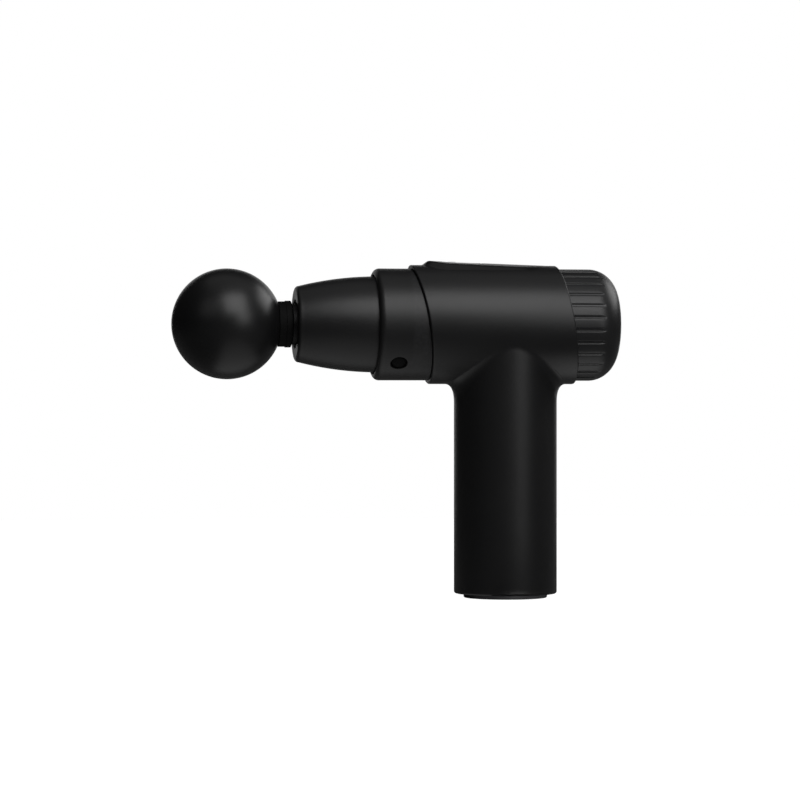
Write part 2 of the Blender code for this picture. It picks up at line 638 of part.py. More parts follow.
def groove_cutter():
    """One mesh with a long narrow block for each groove round the dial."""
    shape = bmesh.new()
    start, end = DIAL_FRONT_X - 1.0 * MM, 46.0 * MM
    floor = DIAL_R - GROOVE_DEPTH
    depth = 3.0 * MM
    for i in range(GROOVES):
        block = bmesh.ops.create_cube(shape, size=1.0)["verts"]
        size = Matrix.Diagonal((depth, GROOVE_WIDTH, end - start)).to_4x4()
        turn = Matrix.Rotation(2 * math.pi * (i + 0.5) / GROOVES, 4, "Z")
        move = Matrix.Translation((floor + depth / 2, 0.0, (start + end) / 2))
        bmesh.ops.transform(shape, matrix=turn @ move @ size, verts=block)
    mesh = bpy.data.meshes.new("groove_cutter")
    shape.to_mesh(mesh)
    shape.free()
    return add("groove_cutter", mesh, None, ON_BARREL)


# ---------------------------------------------------------------- drive

def make_piston():
    """Piston rod with a bore for the head's stem and a fork for the connecting rod."""
    bore_r, bore_end = 5.3 * MM, -76.0 * MM
    core_r, core_end = 7.0 * MM, WRIST_X - 13.0 * MM
    profile = [(0.0, PISTON_REAR_X), (PISTON_R, PISTON_REAR_X), (PISTON_R, PISTON_FRONT_X)]
    profile += [(bore_r, PISTON_FRONT_X), (bore_r, bore_end), (core_r, bore_end)]
    profile += [(core_r, core_end), (0.0, core_end)]
    piston = turned("piston_rod", profile, "aluminium")
    low = (WRIST_X - 6.0 * MM, -20.0 * MM, AXIS_Z - 2.8 * MM)
    high = (0.0, 20.0 * MM, AXIS_Z + 2.8 * MM)
    boolean(piston, box("fork_cutter", low, high))
    hole = rod_profile(2.5 * MM, 20.0 * MM, -20.0 * MM)
    at_pin = hanging(WRIST_X, 0.0)
    boolean(piston, turned("wrist_hole_cutter", hole, None, at_pin, steps=COARSE))
    turned("wrist_pin", rod_profile(2.2 * MM, 8.3 * MM, -8.3 * MM), "steel", at_pin, steps=COARSE)


def make_connecting_rod():
    """Connecting rod from the wrist pin to the crank pin, with the bearing in its big end."""
    small_r, big_r, half = 4.6 * MM, 8.2 * MM, 2.5 * MM
    outline = arc((0.0, 0.0), small_r, 40.0, 320.0, 14)
    outline += arc((ROD_LENGTH, 0.0), big_r, -158.0, 158.0, 20)
    holes = [arc((0.0, 0.0), 2.5 * MM, 0.0, 342.0, 19)]
    holes.append(arc((ROD_LENGTH, 0.0), 6.3 * MM, 0.0, 348.0, 29))
    flat_piece("connecting_rod", [outline] + holes, -half, half, "aluminium", ON_WRIST)
    at_big_end = ON_WRIST @ Matrix.Translation((ROD_LENGTH, 0.0, 0.0))
    race = ring_profile(3.0 * MM, 6.0 * MM, half, -half)
    turned("big_end_bearing", race, "steel", at_big_end, ring=True, steps=30)


def make_crank():
    """Crank wheel with its counterweight, pin and shaft."""
    pin_angle = math.degrees(math.atan2(-PIN_RISE, REST_BEHIND_CENTRE))
    face, back = 3.6 * MM, 7.6 * MM
    weight_r, hub_r = 15.0 * MM, 8.6 * MM
    outline = arc((0.0, 0.0), weight_r, pin_angle + 100.0, pin_angle + 260.0, 20)
    outline += arc((0.0, 0.0), hub_r, pin_angle + 262.0, pin_angle + 458.0, 18)
    pin = (REST_BEHIND_CENTRE, -PIN_RISE)
    holes = [arc(pin, 1.9 * MM, 0.0, 345.0, 15), arc((0.0, 0.0), 2.2 * MM, 0.0, 345.0, 15)]
    flat_piece("crank_wheel", [outline] + holes, face, back, "steel", ON_CRANK)
    at_pin = ON_CRANK @ Matrix.Translation((*pin, 0.0))
    turned("crank_pin", rod_profile(1.6 * MM, 7.5 * MM, 2.9 * MM), "steel", at_pin, steps=COARSE)
    shaft = rod_profile(1.9 * MM, 27.9 * MM, 3.7 * MM)
    turned("motor_shaft", shaft, "steel", ON_CRANK, steps=COARSE)


def make_motor():
    """Outer-rotor motor hanging from its plate, held to both halves by screws in rubber."""
    low_end, bell_r, wall = 28.0 * MM, 15.4 * MM, 1.2 * MM
    bell_bore, edge, mouth, bell_floor = 2.2 * MM, 0.8 * MM, 10.8 * MM, low_end - 1.6 * MM
    bell = [(bell_bore, low_end), (bell_r - edge, low_end), (bell_r, low_end - edge)]
    bell += [(bell_r, mouth), (bell_r - wall, mouth), (bell_r - wall, bell_floor)]
    bell += [(bell_bore, bell_floor)]
    turned("rotor_bell", bell, "steel", ON_CRANK, ring=True)
    magnets = ring_profile(12.3 * MM, bell_r - wall - GAP, 25.8 * MM, 11.2 * MM)
    turned("rotor_magnets", magnets, "magnet", ON_CRANK, ring=True)
    stator = ring_profile(6.1 * MM, 11.9 * MM, 25.6 * MM, 11.4 * MM)
    turned("stator", stator, "winding", ON_CRANK, ring=True)

    front, back, hub, ear = 8.2 * MM, 10.2 * MM, 25.0 * MM, 2.6 * MM
    seat_r, hub_r = 4.8 * MM, 5.8 * MM
    profile = [(seat_r, hub), (hub_r, hub), (hub_r, back), (PLATE_R, back)]
    profile += [(PLATE_R, front), (seat_r, front)]
    plate = turned("motor_plate", profile, "aluminium", ON_CRANK, ring=True, steps=30)
    screw = screw_profile(1.0 * MM, 2.0 * MM, 15.7 * MM, 7.9 * MM, 6.3 * MM)
    for i, y in enumerate(mirrored_pair(PLATE_EAR_Y)):
        place = hanging(CRANK_X, y)
        tab = rod_profile(ear, back - 0.1 * MM, front + 0.1 * MM)
        hole = rod_profile(1.9 * MM, 15.0 * MM, 5.0 * MM)
        boolean(plate, turned("plate_ear_%d" % i, tab, None, place, steps=14), "UNION")
        boolean(plate, turned("plate_hole_%d" % i, hole, None, place, steps=COARSE))
        rubber = ring_profile(1.2 * MM, 1.7 * MM, back, front)
        turned("motor_mount_%d" % (i + 1), rubber, "black_rubber", place, ring=True, steps=COARSE)
        turned("motor_screw_%d" % (i + 1), screw, "steel", place, steps=COARSE)
    race = [("motor_bearing_front", 8.3 * MM), ("motor_bearing_rear", 21.5 * MM)]
    for name, low in race:
        ring = ring_profile(2.1 * MM, 4.5 * MM, low + 3.0 * MM, low)
        turned(name, ring, "steel", ON_CRANK, ring=True, steps=COARSE)


# ---------------------------------------------------------------- power pack and wiring

def make_power_pack():
    """Three cells between two holders, the protection board below and the main board above."""
    cell_top = CELL_FOOT_Z + CELL_HEIGHT
    edge = 0.8 * MM
    cell = [(0.0, cell_top), (CELL_R - edge, cell_top), (CELL_R, cell_top - edge)]
    cell += [(CELL_R, CELL_FOOT_Z + edge), (CELL_R - edge, CELL_FOOT_Z), (0.0, CELL_FOOT_Z)]
    for i in range(3):
        x, y = on_circle(CELL_CIRCLE_R, math.radians(60.0 + 120.0 * i))
        place = Matrix.Translation((x, y, 0.0))
        turned("battery_cell_%d" % (i + 1), cell, "cell_wrap", place, steps=30)
    holder_r = 19.8 * MM
    low = rod_profile(holder_r, CELL_FOOT_Z - GAP, 10.5 * MM)
    low_holder = turned("cell_holder_lower", low, "nylon_grey", UPRIGHT)
    for i, y in enumerate(mirrored_pair(BASE_SCREW_R)):
        hole = rod_profile(SCREW_HOLE_R, 20.0 * MM, 5.0 * MM)
        place = Matrix.Translation((0.0, y, 0.0))
        boolean(low_holder, turned("holder_hole_%d" % i, hole, None, place, steps=COARSE))
    high = rod_profile(holder_r, cell_top + 2.7 * MM, cell_top + GAP)
    turned("cell_holder_upper", high, "nylon_grey", UPRIGHT)
    protection = rod_profile(12.0 * MM, 9.0 * MM, 7.4 * MM)
    turned("protection_board", protection, "board_green", UPRIGHT)
    board = rod_profile(19.0 * MM, BOARD_TOP_Z, BOARD_TOP_Z - BOARD_THICKNESS)
    board = turned("main_board", board, "board_green", UPRIGHT)
    chips = {"driver_chip": (2.0, -4.0, 9.0, 3.0, 1.2), "connector": (-12.0, 6.0, -4.0, 11.0, 2.5),
             "transistors": (5.0, 6.0, 13.0, 10.0, 1.6)}
    for name, (x0, y0, x1, y1, height) in chips.items():
        low = (x0 * MM, y0 * MM, BOARD_TOP_Z - 0.6 * MM)
        high = (x1 * MM, y1 * MM, BOARD_TOP_Z + height * MM)
        boolean(board, box(name, low, high), "UNION")


def make_leads():
    """Leads between the cells, the boards and the motor."""
    board_top = BOARD_TOP_Z / MM + 0.3
    board_under = (BOARD_TOP_Z - BOARD_THICKNESS) / MM - 0.3
    pack_top = (CELL_FOOT_Z + CELL_HEIGHT) / MM + 3.0
    battery = [(-6.0, 0.0, pack_top), (-6.0, 0.0, pack_top + 0.8), (-4.8, 0.0, pack_top + 1.6)]
    battery += [(-4.2, 0.0, board_under - 0.5), (-4.2, 0.0, board_under)]
    wire("battery_lead", [Vector(p) * MM for p in battery], 0.5 * MM, "wire_red")
    plate_under = AXIS_Z / MM - 10.5
    motor = [(17.0, 0.0, board_top), (17.0, 0.0, board_top + 4.0), (17.6, 0.8, board_top + 8.0)]
    motor += [(17.4, 0.4, 101.0), (17.0, 0.0, 106.0), (17.0, 0.0, plate_under)]
    wire("motor_lead", [Vector(p) * MM for p in motor], 0.7 * MM, "wire_red")
    reach = 21.4
    panel = [(-26.0, -6.3, AXIS_Z / MM + 20.1)]
    for degrees in range(22, 160, 12):
        angle = math.radians(degrees)
        x = -26.0 + 12.0 * (degrees - 22) / 136
        panel.append((x, -reach * math.sin(angle), AXIS_Z / MM + reach * math.cos(angle)))
    panel += [(-15.2, -8.4, 96.0), (-15.6, -8.6, 92.0), (-15.6, -8.6, board_top)]
    wire("panel_lead", [Vector(p) * MM for p in panel], 0.7 * MM, "wire_red")


def build():
    """Make the whole massage gun."""
    empty_scene()
    make_head()
    make_nose()
    make_collar()
    make_port()
    make_guide()
    make_housing()
    make_base_cap()
    make_panel()
    make_dial()
    make_piston()
    make_connecting_rod()
    make_crank()
    make_motor()
    make_power_pack()
    make_leads()


build()
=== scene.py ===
"""Massage gun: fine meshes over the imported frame, moulded and metal surfaces, studio and camera.

Metres, +Z up. The barrel lies along X at the height AXIS_Z with the ball head towards -X, and the
gun stands on its base cap at Z = 0. Profiles are (radius, height) points. On the barrel a height
is a world X value.
"""

import json
import math

import bmesh
import bpy
from mathutils import Matrix, Vector


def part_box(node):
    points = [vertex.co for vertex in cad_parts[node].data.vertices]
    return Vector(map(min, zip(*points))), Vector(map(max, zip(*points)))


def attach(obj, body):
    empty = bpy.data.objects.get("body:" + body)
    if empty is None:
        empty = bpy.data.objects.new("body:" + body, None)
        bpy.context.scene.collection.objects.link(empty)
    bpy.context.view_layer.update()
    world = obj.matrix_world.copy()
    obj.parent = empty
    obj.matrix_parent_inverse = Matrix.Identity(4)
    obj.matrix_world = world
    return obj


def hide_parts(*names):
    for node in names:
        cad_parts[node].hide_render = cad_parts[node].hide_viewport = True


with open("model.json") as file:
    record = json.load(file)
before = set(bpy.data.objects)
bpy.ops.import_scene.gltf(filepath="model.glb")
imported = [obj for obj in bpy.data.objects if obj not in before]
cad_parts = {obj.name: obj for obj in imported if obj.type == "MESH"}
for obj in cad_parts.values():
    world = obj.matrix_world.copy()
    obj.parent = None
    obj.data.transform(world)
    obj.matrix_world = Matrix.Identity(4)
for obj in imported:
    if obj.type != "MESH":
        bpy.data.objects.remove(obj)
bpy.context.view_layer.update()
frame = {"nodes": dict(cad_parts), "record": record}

MM = 0.001
GAP = 0.3 * MM                       # left between pieces that touch
ON_AXIS = 0.001 * MM                 # a point nearer to the axis than this is a tip
FAR = 60.0 * MM                      # clear past either end of the barrel
ROUND, KNOB_ROUND, SCREW_ROUND = 168, 72, 42     # sides of turned pieces: large, small, tiny


def size_of(node):
    """Length of a node's box along X, Y and Z."""
    low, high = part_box(node)
    return [high[i] - low[i] for i in range(3)]


def middle_of(node):
    """Middle of a node's box."""
    low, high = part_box(node)
    return Vector([(low[i] + high[i]) / 2 for i in range(3)])


# ---------------------------------------------------------------- dimensions

AXIS_Z = middle_of("speed_dial").z

BALL_R = size_of("head_ball")[2] / 2
BALL_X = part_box("head_ball")[0][0] + BALL_R
SOCKET_R, NECK_R, FLANGE_R, STEM_R = 9.0 * MM, 9.9 * MM, 10.2 * MM, 5.0 * MM
SOCKET_END_X, STEM_REAR_X = -111.0 * MM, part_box("head_stem")[1][0]
PISTON_R = size_of("piston_rod")[2] / 2
PISTON_FRONT_X, PISTON_REAR_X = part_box("piston_rod")[0][0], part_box("piston_rod")[1][0]

NOSE_R, NOSE_FRONT_X, NOSE_REAR_X = 21.0 * MM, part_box("nose_cone")[0][0], -57.6 * MM
NOSE_SLOPE, NOSE_BOW_R = 0.0132, 138.0 * MM
COLLAR_R = 24.5 * MM
COLLAR_FRONT_X, COLLAR_REAR_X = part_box("nose_collar")[0][0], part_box("nose_collar")[1][0]

BARREL_R, BARREL_BORE = 26.1 * MM, 23.9 * MM
FRONT_SEAM_X, REAR_SEAM_X = -38.6 * MM, 26.25 * MM
SEAM_BOW = 1.2 * MM                  # how far the front seam swings back at the sides
SEAM_SLOPE = math.tan(math.radians(9.0))
HANDLE_R, HANDLE_BORE, HANDLE_FOOT_Z = 22.6 * MM, 20.3 * MM, 1.85 * MM
HANDLE_BULGE = 1.4 * MM              # the handle is this much thicker at its sides
BLEND_OUT_ENDS, BLEND_OUT_SIDES = 4.4 * MM, 0.3 * MM
BLEND_DOWN_ENDS, BLEND_DOWN_SIDES = 8.8 * MM, 1.5 * MM

DIAL_R = size_of("speed_dial")[2] / 2
DIAL_FRONT_X, DIAL_END_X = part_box("speed_dial")[0][0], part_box("speed_dial")[1][0]
DIAL_CORNER_R, DIAL_WALL = 12.2 * MM, 2.8 * MM
GROOVES, GROOVE_WIDTH, GROOVE_DEPTH = 28, 1.2 * MM, 0.5 * MM

PANEL_FRONT_X, PANEL_REAR_X = -37.0 * MM, 18.0 * MM
PANEL_HALF_WIDTH = 11.0 * MM
PANEL_FRONT_R, PANEL_REAR_R, PANEL_FLOOR_R = 28.0 * MM, 25.95 * MM, 25.0 * MM
PANEL_SLOPE_X = PANEL_FRONT_X + 2.6 * MM         # its top starts to slope down here
LENS_FRONT_X, LENS_REAR_X, LENS_HALF_WIDTH = -31.0 * MM, -11.0 * MM, 6.5 * MM
BUTTON_X, BUTTON_R = -25.0 * MM, size_of("power_button")[0] / 2

ALONG_BARREL = Matrix.Translation((0.0, 0.0, AXIS_Z)) @ Matrix.Rotation(math.pi / 2, 4, "Y")
PORT_X, PORT_TILT = -49.9 * MM, math.radians(45.0)
ON_PORT = (Matrix.Translation((PORT_X, 0.0, AXIS_Z))
           @ Matrix.Rotation(math.pi / 2 + PORT_TILT, 4, "X"))
UPRIGHT = Matrix.Identity(4)
HALF_STEP = Matrix.Rotation(math.pi / ROUND, 4, "Z")


# ---------------------------------------------------------------- materials

class Surface:
    """A Principled material whose colour, roughness and bump come from noise on the object."""

    def __init__(self, name, colour, roughness, metallic=0.0):
        self.material = bpy.data.materials.new(name)
        self.material.use_nodes = True
        self.tree = self.material.node_tree
        self.shader = self.tree.nodes["Principled BSDF"]
        self.set(**{"Base Color": (*colour, 1.0), "Roughness": roughness, "Metallic": metallic})
        self.place = self.node("ShaderNodeTexCoord").outputs["Object"]
        self.height = None

    def node(self, kind, **settings):
        """Add a node; settings are attributes of the node."""
        made = self.tree.nodes.new(kind)
        for key, value in settings.items():
            setattr(made, key, value)
        return made

    def set(self, **values):
        """Put constants on the shader's own sockets."""
        for socket, value in values.items():
            self.shader.inputs[socket.replace("_", " ")].default_value = value

    def link(self, output, socket):
        """Connect an output to a socket."""
        self.tree.links.new(output, socket)

    def noise(self, scale, detail=3.0, rough=0.6, stretch=(1.0, 1.0, 1.0)):
        """Noise value between 0 and 1; scale is features per metre."""
        mapping = self.node("ShaderNodeMapping")
        mapping.inputs["Scale"].default_value = stretch
        self.link(self.place, mapping.inputs["Vector"])
        made = self.node("ShaderNodeTexNoise")
        made.inputs["Scale"].default_value = scale
        made.inputs["Detail"].default_value = detail
        made.inputs["Roughness"].default_value = rough
        self.link(mapping.outputs["Vector"], made.inputs["Vector"])
        return made.outputs["Fac"]

    def spread(self, value, low, high, start=0.3, end=0.7):
        """Rescale a value from start..end to low..high."""
        made = self.node("ShaderNodeMapRange")
        for socket, number in (("From Min", start), ("From Max", end), ("To Min", low),
                               ("To Max", high)):
            made.inputs[socket].default_value = number
        self.link(value, made.inputs["Value"])
        return made.outputs["Result"]

    def combined(self, first, second, operation="ADD"):
        """Add two values, or combine them otherwise."""
        made = self.node("ShaderNodeMath", operation=operation)
        self.link(first, made.inputs[0])
        self.link(second, made.inputs[1])
        return made.outputs["Value"]

    def edges(self):
        """1 on worn convex edges, 0 elsewhere."""
        point = self.node("ShaderNodeNewGeometry").outputs["Pointiness"]
        return self.spread(point, 0.0, 1.0, 0.52, 0.60)

    def tint(self, factor, light):
        """Blend the base colour towards a second one by a factor."""
        made = self.node("ShaderNodeMix", data_type="RGBA")
        source = self.shader.inputs["Base Color"]
        if source.is_linked:
            self.link(source.links[0].from_socket, made.inputs[6])
        else:
            made.inputs[6].default_value = source.default_value
        made.inputs[7].default_value = (*light, 1.0)
        self.link(factor, made.inputs[0])
        self.link(made.outputs[2], source)

    def rough(self, value):
        """Drive the roughness."""
        self.link(value, self.shader.inputs["Roughness"])

    def bump(self, value, depth):
        """Add one layer of bump, depth in metres."""
        made = self.node("ShaderNodeBump")
        made.inputs["Strength"].default_value = 1.0
        made.inputs["Distance"].default_value = depth
        self.link(value, made.inputs["Height"])
        if self.height is not None:
            self.link(self.height, made.inputs["Normal"])
        self.height = made.outputs["Normal"]
        self.link(self.height, self.shader.inputs["Normal"])


def lighter(colour, times):
    """The colour made brighter."""
    return tuple(min(1.0, c * times) for c in colour)


def moulded(name, colour, roughness, grain=0.010 * MM, specular=0.25):
    """Satin moulded plastic: fine spark-eroded grain, faint handling marks, paler edges."""
    made = Surface(name, colour, roughness)
    made.set(Specular_IOR_Level=specular)
    marks = made.noise(45.0, 4.0, 0.65)
    grain_field = made.noise(2600.0, 2.0, 0.5)
    made.rough(made.combined(made.spread(marks, roughness - 0.015, roughness + 0.015),
                             made.spread(grain_field, -0.02, 0.02)))
    made.tint(made.spread(made.noise(70.0, 3.0), 0.0, 0.3), lighter(colour, 1.4))
    wear = made.combined(made.edges(), made.spread(made.noise(600.0), 0.0, 0.5), "MULTIPLY")
    made.tint(wear, lighter(colour, 4.0))
    made.bump(made.noise(14.0, 1.0), 0.02 * MM)
    made.bump(grain_field, grain)
    return made.material


def rubber(name, colour, roughness):
    """Soft black rubber: dusty bloom, fine pitting."""
    made = Surface(name, colour, roughness)
    made.set(Specular_IOR_Level=0.06)
    bloom = made.noise(120.0, 5.0, 0.7)
    made.rough(made.spread(bloom, roughness - 0.06, roughness + 0.06))
    made.tint(made.spread(bloom, 0.0, 0.5), lighter(colour, 2.0))
    made.tint(made.edges(), lighter(colour, 3.0))
    made.bump(made.noise(1500.0, 3.0), 0.012 * MM)
    return made.material


def glossy(name, colour):
    """Polished dark lens: nearly smooth, with faint wiping marks and dust."""
    made = Surface(name, colour, 0.09)
    made.set(Coat_Weight=0.5, Coat_Roughness=0.05)
    wiped = made.noise(220.0, 4.0, 0.6, (1.0, 6.0, 1.0))
    made.rough(made.spread(wiped, 0.06, 0.15))
    made.tint(made.spread(made.noise(1800.0), 0.0, 0.25, 0.6, 0.8), lighter(colour, 5.0))
    made.bump(made.noise(30.0, 1.0), 0.01 * MM)
    return made.material


def machined(name, colour, roughness, stretch=(1.0, 12.0, 12.0)):
    """Turned or brushed metal: fine lines, oil film, bright edges."""
    made = Surface(name, colour, roughness, 1.0)
    made.set(Anisotropic=0.4)
    lines = made.noise(260.0, 4.0, 0.7, stretch)
    film = made.noise(60.0, 3.0)
    made.rough(made.combined(made.spread(lines, roughness - 0.06, roughness + 0.06),
                             made.spread(film, -0.04, 0.05)))
    made.tint(made.spread(film, 0.0, 0.5), lighter(colour, 0.7))
    made.tint(made.edges(), lighter(colour, 1.3))
    made.bump(lines, 0.008 * MM)
    return made.material


def windings(name, colour):
    """Lacquered copper wire laid in rows on dark stator teeth."""
    made = Surface(name, colour, 0.3, 1.0)
    wires = made.node("ShaderNodeTexWave", wave_type="BANDS", bands_direction="Z")
    wires.inputs["Scale"].default_value = 500.0
    wires.inputs["Distortion"].default_value = 0.6
    made.link(made.place, wires.inputs["Vector"])
    made.rough(made.spread(wires.outputs["Fac"], 0.25, 0.45, 0.0, 1.0))
    made.tint(made.spread(wires.outputs["Fac"], 0.0, 0.6, 0.0, 1.0), lighter(colour, 0.35))
    made.bump(wires.outputs["Fac"], 0.1 * MM)
    return made.material


def circuit_board(name, colour):
    """Green solder mask over copper tracks."""
    made = Surface(name, colour, 0.35)
    made.set(Coat_Weight=0.3)
    tracks = made.node("ShaderNodeTexBrick")
    tracks.inputs["Scale"].default_value = 260.0
    tracks.inputs["Mortar Size"].default_value = 0.06
    made.link(made.place, tracks.inputs["Vector"])
    made.tint(made.spread(tracks.outputs["Fac"], 0.0, 0.8, 0.0, 1.0), lighter(colour, 2.2))
    made.rough(made.spread(made.noise(400.0), 0.28, 0.45))
    made.bump(tracks.outputs["Fac"], 0.03 * MM)
    return made.material


def shrink_wrap(name, colour):
    """Thin heat-shrunk sleeve with soft creases."""
    made = Surface(name, colour, 0.35)
    made.set(Coat_Weight=0.25)
    creases = made.noise(180.0, 2.0, 0.5, (1.0, 1.0, 0.2))
    made.rough(made.spread(creases, 0.28, 0.45))
    made.tint(made.spread(made.noise(90.0), 0.0, 0.4), lighter(colour, 0.6))
    made.bump(creases, 0.06 * MM)
    return made.material


BLACK = (0.0036, 0.0036, 0.0038)

MATERIALS = {
    "shell": moulded("shell_soft_touch", BLACK, 0.40),
    "nose": moulded("nose_soft_touch", BLACK, 0.42),
    "dial": moulded("dial_soft_touch", lighter(BLACK, 1.7), 0.38),
    "panel": moulded("panel_satin", lighter(BLACK, 0.8), 0.33, 0.006 * MM),
    "lens": glossy("lens_gloss", (0.004, 0.004, 0.005)),
    "button": moulded("button_satin", lighter(BLACK, 1.8), 0.40, 0.006 * MM),
    # Painted light, in part: the cap's dark grey, twelve times the shell's black, is partly its own
    # tone and partly stands for light off the table under the handle's overhang.
    "cap": moulded("cap_satin", lighter(BLACK, 12.0), 0.55, specular=0.15),
    "ball": moulded("ball_elastomer", BLACK, 0.36, 0.008 * MM),
    # Painted shade, in part: this black, half the shell's, is partly the rubber's own colour and
    # partly darkens the charging plug as the shade of a deep hole would.
    "rubber": rubber("black_rubber", (0.0018, 0.0018, 0.0018), 0.7),
    "nylon": moulded("grey_nylon", (0.30, 0.31, 0.32), 0.5),
    "acetal": moulded("white_acetal", (0.75, 0.75, 0.73), 0.4),
    "aluminium": machined("aluminium", (0.68, 0.69, 0.71), 0.35),
    "piston": moulded("hard_anodised_piston", lighter(BLACK, 0.8), 0.5, 0.006 * MM, 0.12),
    "steel": machined("steel", (0.50, 0.51, 0.53), 0.28),
    "magnet": machined("magnet", (0.16, 0.16, 0.17), 0.45),
    "winding": windings("copper_windings", (0.62, 0.28, 0.12)),
    "board": circuit_board("circuit_board", (0.03, 0.17, 0.08)),
    "cell": shrink_wrap("cell_wrap", (0.05, 0.22, 0.45)),
    "lead": rubber("red_lead", (0.50, 0.03, 0.03), 0.45),
}


# ---------------------------------------------------------------- shape helpers

def arc(centre, radius, start, end, pieces):
    """Points of an arc, both ends included; angles in degrees."""
    angles = [math.radians(start + (end - start) * i / pieces) for i in range(pieces + 1)]
    return [(centre[0] + radius * math.cos(a), centre[1] + radius * math.sin(a)) for a in angles]


def softened(profile, radius, ring=False, pieces=4):
    """Round every clear corner of a profile."""
    points = [Vector(p) for p in profile]
    count = len(points)
    result = []
    for i, corner in enumerate(points):
        if not ring and i in (0, count - 1):
            result.append(tuple(corner))
            continue
        before, after = points[i - 1] - corner, points[(i + 1) % count] - corner
        if before.angle(-after) < math.radians(20.0):
            result.append(tuple(corner))
            continue
        cut = min(radius, 0.45 * before.length, 0.45 * after.length)
        start, end = corner + before.normalized() * cut, corner + after.normalized() * cut
        for step in range(pieces + 1):
            t = step / pieces
            result.append(tuple(start * (1 - t) ** 2 + corner * 2 * t * (1 - t) + end * t * t))
    return result


def closed_mesh(name, rows, ring_of_rows=False):
    """Mesh through rows of points, closed round each row; a row of one point is a tip."""
    shape = bmesh.new()
    made = [[shape.verts.new(point) for point in row] for row in rows]
    pairs = list(zip(made, made[1:]))
    if ring_of_rows:
        pairs.append((made[-1], made[0]))
    for lower, upper in pairs:
        count = max(len(lower), len(upper))
        for i in range(count):
            j = (i + 1) % count
            if len(lower) == 1:
                shape.faces.new((lower[0], upper[j], upper[i]))
            elif len(upper) == 1:
                shape.faces.new((lower[i], lower[j], upper[0]))
            else:
                shape.faces.new((lower[i], lower[j], upper[j], upper[i]))
    if not ring_of_rows:
        for row in (made[0], made[-1]):
            if len(row) > 1:
                shape.faces.new(row)
    bmesh.ops.recalc_face_normals(shape, faces=shape.faces)
    mesh = bpy.data.meshes.new(name)
    shape.to_mesh(mesh)
    shape.free()
    return mesh


def turned(name, profile, place=ALONG_BARREL, ring=False, steps=ROUND):
    """Mesh of revolution about local Z."""
    turns = [2 * math.pi * i / steps for i in range(steps)]
    rows = []
    for radius, height in profile:
        if radius < ON_AXIS:
            rows.append([place @ Vector((0.0, 0.0, height))])
        else:
            rows.append([place @ Vector((radius * math.cos(a), radius * math.sin(a), height))
                         for a in turns])
    return closed_mesh(name, rows, ring)


def carved(mesh, *cuts):
    """Exact Booleans, one after the other; each cut is (operation, mesh)."""
    base = bpy.data.objects.new("carved", mesh)
    bpy.context.scene.collection.objects.link(base)
    tools = []
    for operation, other in cuts:
        tool = bpy.data.objects.new("tool", other)
        bpy.context.scene.collection.objects.link(tool)
        step = base.modifiers.new(operation, "BOOLEAN")
        step.operation, step.object = operation, tool
        tools.append(tool)
    bpy.context.view_layer.update()
    seen = base.evaluated_get(bpy.context.evaluated_depsgraph_get())
    result = bpy.data.meshes.new_from_object(seen)
    for thing in (base, *tools):
        bpy.data.objects.remove(thing)
    return result


def block(low, high):
    """Mesh of a box between two corners."""
    rows = [[(low[0], low[1], z), (high[0], low[1], z), (high[0], high[1], z), (low[0], high[1], z)]
            for z in (low[2], high[2])]
    return closed_mesh("block", rows)


def piece(name, mesh, body, slot, *nodes, sharp=32.0):
    """Object that stands for CAD nodes, rides on their body and has their finish."""
    mesh.name = name
    mesh.materials.clear()
    mesh.materials.append(MATERIALS[slot])
    mesh.shade_smooth()
    mesh.set_sharp_from_angle(angle=math.radians(sharp))
    made = bpy.data.objects.new(name, mesh)
    bpy.context.scene.collection.objects.link(made)
    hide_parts(*nodes)
    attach(made, body)
    return made


def stadium(front, rear, half_width, pieces=24):
    """Outline with round ends along X."""
    return (arc((front + half_width, 0.0), half_width, 90.0, 270.0, pieces)
            + arc((rear - half_width, 0.0), half_width, -90.0, 90.0, pieces))


def over_barrel(outline, radius):
    """Outline laid on a surface round the barrel; radius is a number or a function of X."""
    level = radius if callable(radius) else lambda x: radius
    return [(x, y, AXIS_Z + math.sqrt(level(x) ** 2 - y ** 2)) for x, y in outline]


# ---------------------------------------------------------------- massage head

def make_ball():
    """Ball with its hollow and the socket for the stem."""
    wall, collar_r = 2.6 * MM, 12.0 * MM
    hollow_r = BALL_R - wall
    mouth = math.degrees(math.acos(SOCKET_R / BALL_R))
    brim = math.degrees(math.acos(collar_r / hollow_r))
    inside = arc((0.0, BALL_X), hollow_r, -90.0, brim, 30)
    inside[0] = (0.0, BALL_X - hollow_r)
    inside += [(collar_r, SOCKET_END_X), (SOCKET_R, SOCKET_END_X)]
    outside = arc((0.0, BALL_X), BALL_R, mouth, -90.0, 80)
    outside[-1] = (0.0, BALL_X - BALL_R)
    lip = softened([inside[-1], outside[0], outside[1]], 0.25 * MM)[1:-1]
    piece("ball_head", turned("ball", inside + lip + outside[1:]), "head", "ball", "head_ball")


